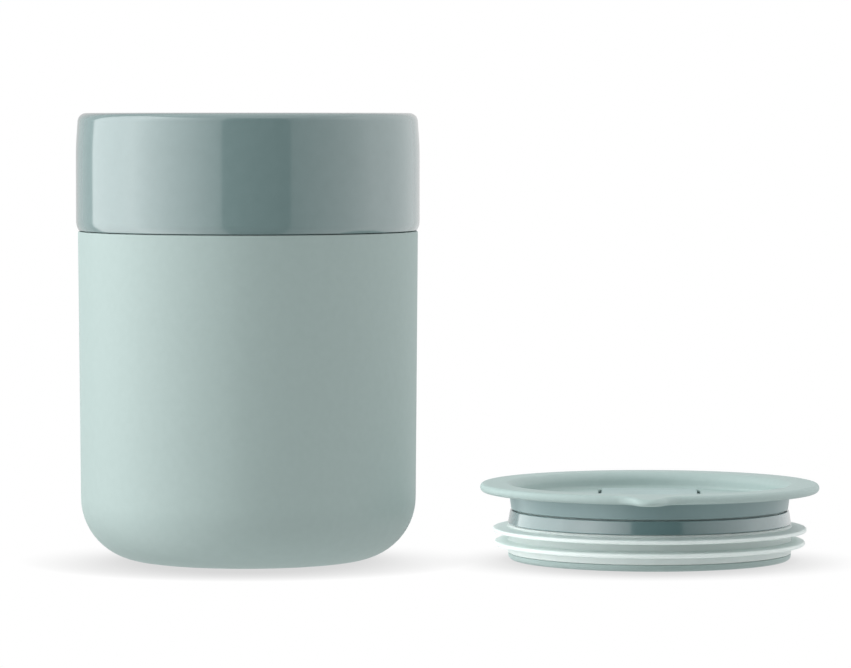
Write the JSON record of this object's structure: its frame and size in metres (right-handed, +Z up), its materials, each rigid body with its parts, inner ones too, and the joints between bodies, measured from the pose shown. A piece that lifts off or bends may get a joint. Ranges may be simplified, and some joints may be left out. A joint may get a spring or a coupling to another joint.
{
  "type": "soup mug",
  "caption": "Handleless glazed soup mug in a soft sleeve, with a press-in sip lid that has a sliding closure, a pull tab and a finned gasket, lying beside it.",
  "frame": {"origin": "centre of the mug's flat base, on the mug's axis, at the height of the table", "axes": "+Z up along the mug's axis, +X towards the lid that lies beside the mug, -Y towards the pull tab"},
  "size_m": [0.1906, 0.0933, 0.1145],
  "materials": {
    "glazed_ceramic": "glossy sage grey-green glaze",
    "sleeve_silicone": "matte sage grey-green silicone",
    "lid_matte": "fine matte moulded plastic",
    "slider_matte": "fine matte moulded plastic",
    "plug_gloss": "polished moulded plastic",
    "gasket_silicone": "pale translucent silicone"
  },
  "bodies": {
    "mug": {"ceramic_mug": "glazed_ceramic", "silicone_sleeve": "sleeve_silicone"},
    "lid": {"lid_top": "lid_matte", "lid_plug": "plug_gloss", "lid_gasket": "gasket_silicone"},
    "slider": {"lid_slider": "slider_matte"}
  },
  "joints": [
    {"name": "lid_lift", "type": "slide", "parent": "mug", "child": "lid", "axis": [0, 0, 1], "range_m": [0, 0.13]},
    {"name": "slider_open", "type": "slide", "parent": "lid", "child": "slider", "axis": [-0.0454, -0.999, 0], "range_m": [0, 0.016]}
  ]
}
